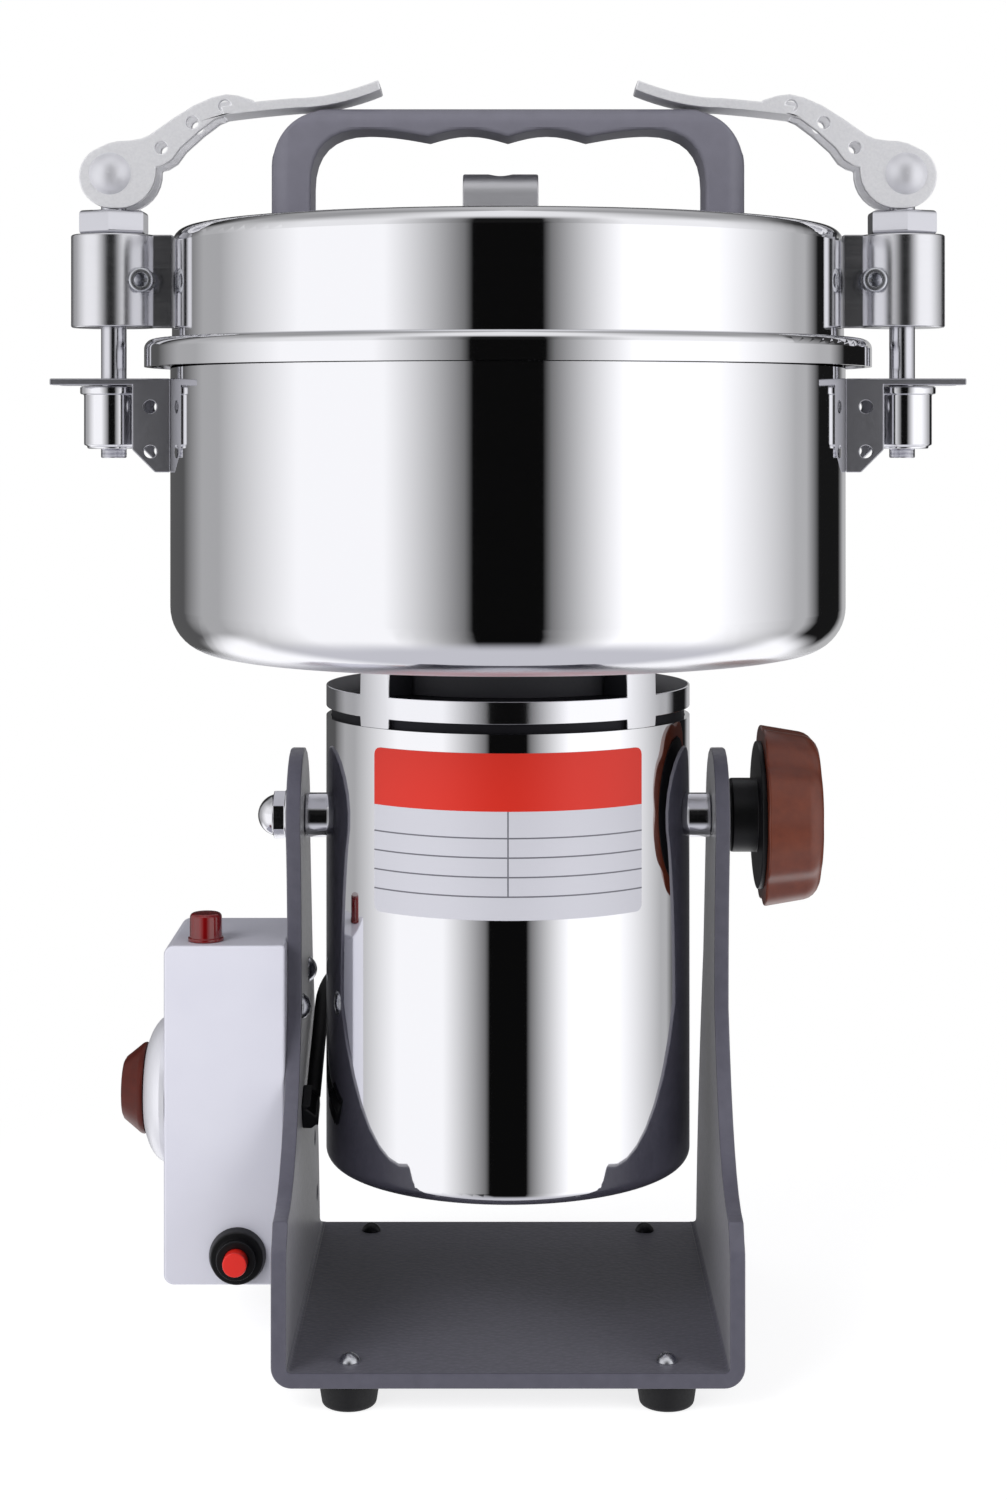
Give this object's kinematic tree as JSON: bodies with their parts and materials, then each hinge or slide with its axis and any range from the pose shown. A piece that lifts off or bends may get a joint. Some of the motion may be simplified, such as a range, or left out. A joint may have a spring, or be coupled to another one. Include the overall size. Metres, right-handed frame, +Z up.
{
  "type": "electric grain mill",
  "caption": "Swing type electric grain mill: steel grinding bowl with clamped lid on a motor that tilts in a bent sheet stand with a timer box.",
  "frame": {"origin": "centre of the footprint, on the table between the four rubber feet", "axes": "+Z up along the bowl and motor axis at rest, -Y towards the user, +X towards the lock knob along the tilt axis"},
  "size_m": [0.283, 0.226, 0.3906],
  "materials": {
    "hammertone_paint": "dark grey hammer paint",
    "black_rubber": "matte",
    "plated_steel": "zinc plated",
    "box_paint": "pale grey satin paint",
    "pale_plastic": "gloss",
    "red_lens": "clear red",
    "black_plastic": "satin",
    "cable_jacket": "matte",
    "polished_steel": "polished",
    "cast_alloy": "as cast",
    "bearing_steel": "ground",
    "lamination_steel": "oxide grey",
    "copper_winding": "varnished copper",
    "carbon": "matte",
    "turned_steel": "turned",
    "bright_chrome": "bright plated",
    "plate_foil": "printed foil, blank",
    "pale_silicone": "matte",
    "grey_plastic": "fine grain",
    "blade_steel": "ground",
    "brown_plastic": "moulded, glossy",
    "red_plastic": "gloss"
  },
  "bodies": {
    "stand": {"yoke_frame": "hammertone_paint", "rubber_feet": "black_rubber", "foot_screws": "plated_steel", "control_box": "box_paint", "box_screws": "plated_steel", "timer_body": "pale_plastic", "timer_dial": "pale_plastic", "indicator_lamp": "red_lens", "breaker_body": "black_plastic", "cord_gland": "black_plastic", "cable_elbow": "black_plastic", "motor_cable": "cable_jacket"},
    "mill": {"motor_can": "polished_steel", "upper_bracket": "cast_alloy", "neck_gasket": "black_rubber", "lower_bracket": "cast_alloy", "bearings": "bearing_steel", "stator_core": "lamination_steel", "field_coils": "copper_winding", "tie_bolts": "plated_steel", "brush_holders": "black_plastic", "carbon_brushes": "carbon", "left_trunnion": "turned_steel", "right_trunnion": "turned_steel", "pivot_nut": "bright_chrome", "motor_gland": "black_plastic", "rating_plate": "plate_foil", "bowl": "polished_steel", "pan_screws": "turned_steel", "seal_housing": "turned_steel", "shaft_seal": "black_rubber", "catch_brackets": "polished_steel", "lid_shell": "polished_steel", "lid_gasket": "pale_silicone", "lid_handle": "grey_plastic", "lid_strap": "polished_steel", "clamp_lugs": "bright_chrome", "cam_seats": "bright_chrome", "lug_screws": "plated_steel"},
    "rotor": {"motor_shaft": "turned_steel", "armature_core": "lamination_steel", "armature_windings": "copper_winding", "commutator": "copper_winding", "cooling_fan": "black_plastic", "lower_blade": "blade_steel", "blade_spacer": "turned_steel", "upper_blade": "blade_steel", "blade_nut": "turned_steel"},
    "left_tie": {"left_tie_rod": "bright_chrome"},
    "right_tie": {"right_tie_rod": "bright_chrome"},
    "left_nut": {"left_adjusting_nut": "bright_chrome"},
    "right_nut": {"right_adjusting_nut": "bright_chrome"},
    "left_clamp": {"left_lever": "bright_chrome", "left_cam_pin": "plated_steel"},
    "right_clamp": {"right_lever": "bright_chrome", "right_cam_pin": "plated_steel"},
    "tilt_lock": {"lock_knob": "brown_plastic", "lock_stud": "black_plastic"},
    "timer_control": {"timer_knob": "brown_plastic"},
    "reset_control": {"reset_button": "red_plastic"}
  },
  "joints": [
    {"name": "mill_tilt", "type": "hinge", "parent": "stand", "child": "mill", "pos_m": [0, 0, 0.1615], "axis": [1, 0, 0], "range_deg": [-90, 100], "deforming": ["motor_cable"]},
    {"name": "rotor_spin", "type": "hinge", "parent": "mill", "child": "rotor", "pos_m": [0, 0, 0.125], "axis": [0, 0, 1], "continuous": true},
    {"name": "left_rod_slide", "type": "slide", "parent": "mill", "child": "left_tie", "axis": [0, 0, -1], "range_m": [0, 0.002]},
    {"name": "right_rod_slide", "type": "slide", "parent": "mill", "child": "right_tie", "axis": [0, 0, -1], "range_m": [0, 0.002]},
    {"name": "left_lever_turn", "type": "hinge", "parent": "left_tie", "child": "left_clamp", "pos_m": [-0.1235, 0, 0.3616], "axis": [0, -1, 0], "range_deg": [0, 150]},
    {"name": "right_lever_turn", "type": "hinge", "parent": "right_tie", "child": "right_clamp", "pos_m": [0.1235, 0, 0.3616], "axis": [0, 1, 0], "range_deg": [0, 150]},
    {"name": "left_nut_turn", "type": "hinge", "parent": "left_tie", "child": "left_nut", "pos_m": [-0.1235, 0, 0.286], "axis": [0, 0, 1], "range_deg": [-360, 360]},
    {"name": "right_nut_turn", "type": "hinge", "parent": "right_tie", "child": "right_nut", "pos_m": [0.1235, 0, 0.286], "axis": [0, 0, 1], "range_deg": [-360, 360]},
    {"name": "lock_knob_turn", "type": "hinge", "parent": "mill", "child": "tilt_lock", "pos_m": [0.088, 0, 0.1615], "axis": [1, 0, 0], "range_deg": [0, 360]},
    {"name": "timer_turn", "type": "hinge", "parent": "stand", "child": "timer_control", "pos_m": [-0.116, 0, 0.076], "axis": [-1, 0, 0], "range_deg": [0, 300]},
    {"name": "reset_press", "type": "slide", "parent": "stand", "child": "reset_control", "axis": [0, 1, 0], "range_m": [0, 0.002], "stiffness_N_per_m": 600}
  ],
  "couplings": [
    {"joint": "left_rod_slide", "follows": "left_lever_turn", "m_per_rad": 0.00076394},
    {"joint": "right_rod_slide", "follows": "right_lever_turn", "m_per_rad": 0.00076394}
  ]
}
